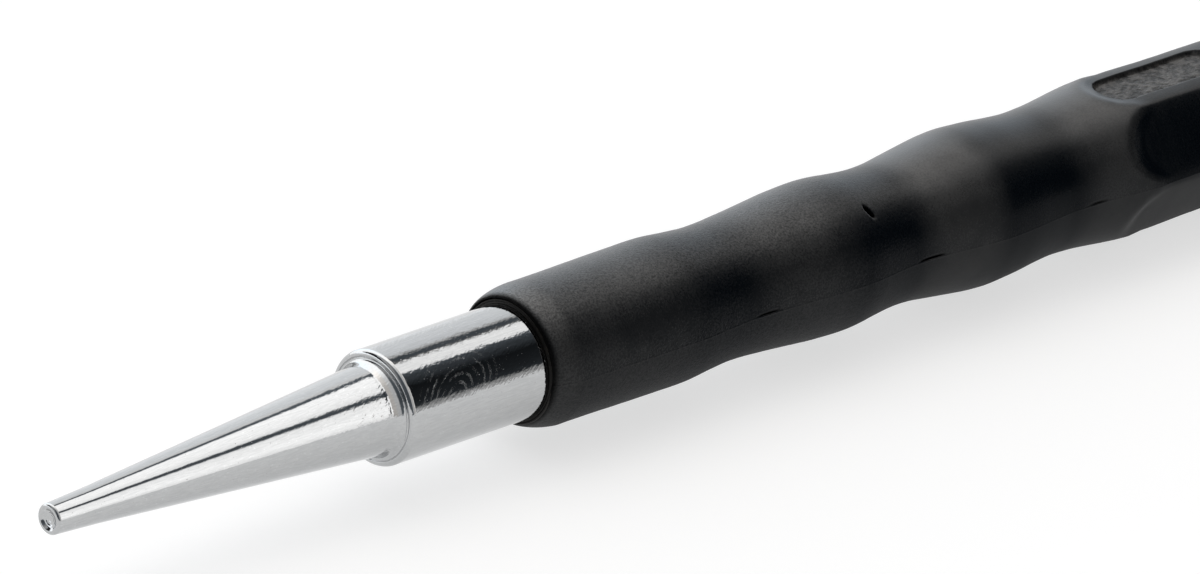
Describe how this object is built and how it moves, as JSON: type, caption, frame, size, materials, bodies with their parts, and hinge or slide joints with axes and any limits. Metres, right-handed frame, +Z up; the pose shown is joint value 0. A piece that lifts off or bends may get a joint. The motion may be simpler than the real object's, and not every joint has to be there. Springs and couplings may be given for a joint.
{
  "type": "nail setter",
  "caption": "Hand punch that sinks nail heads: chromed steel with a cup point, cone and round shank, in a waved soft grip with six flats at its flared rear, and a chamfered head.",
  "frame": {"origin": "under the middle of the tool's length, level with the lowest flat of the grip's flared rear end, on which the tool lies", "axes": "+X along the tool from the point to the striking head, +Z up out of the flat that holds the bare label recess, +Y completes the right hand"},
  "size_m": [0.15, 0.0168, 0.0151],
  "materials": {
    "chromed_steel": "bright chrome over fine grinding marks",
    "core_plastic": "hard moulded plastic, matt, brownish black",
    "skin_rubber": "soft moulded rubber, matt charcoal with a fine grain"
  },
  "bodies": {
    "root": {"punch": "chromed_steel", "grip_core": "core_plastic", "grip_skin": "skin_rubber"}
  },
  "joints": []
}
